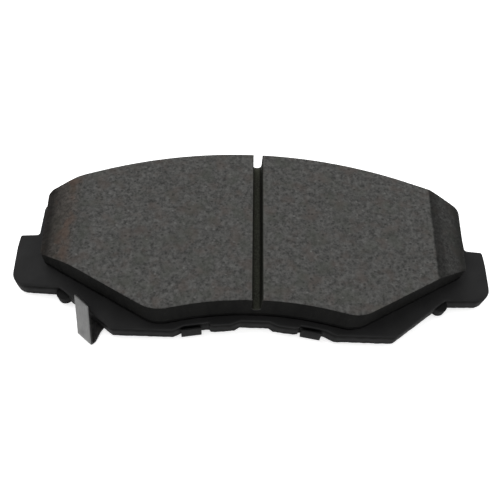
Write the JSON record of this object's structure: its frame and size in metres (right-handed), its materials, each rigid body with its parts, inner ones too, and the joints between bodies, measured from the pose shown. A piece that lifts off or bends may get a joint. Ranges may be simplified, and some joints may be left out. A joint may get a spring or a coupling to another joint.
{
  "type": "disc brake pad",
  "caption": "Slotted, end-chamfered friction block moulded on an eared steel backing plate, with rear shims and a riveted wear indicator.",
  "frame": {"origin": "centre of the cover shim's back face, the face that the caliper's pistons or fingers push on", "axes": "+X along the pad's length, +Y towards the disc's rim, +Z towards the disc, out of the friction face"},
  "size_m": [0.1454, 0.0618, 0.0179],
  "materials": {
    "plate_paint": "satin",
    "bond_adhesive": "matte",
    "underlayer_compound": "matte",
    "lining_compound": "matte",
    "shim_glue": "satin",
    "shim_rubber": "matte",
    "shim_steel": "satin",
    "cover_steel": "satin",
    "spring_steel": "satin",
    "rivet_steel": "satin"
  },
  "bodies": {
    "root": {"backing_plate": "plate_paint", "friction_bond": "bond_adhesive", "underlayer": "underlayer_compound", "friction_lining": "lining_compound", "shim_adhesive": "shim_glue", "shim_inner_coat": "shim_rubber", "shim_core": "shim_steel", "shim_outer_coat": "shim_rubber", "cover_shim": "cover_steel", "wear_indicator": "spring_steel", "indicator_rivet": "rivet_steel"}
  },
  "joints": []
}
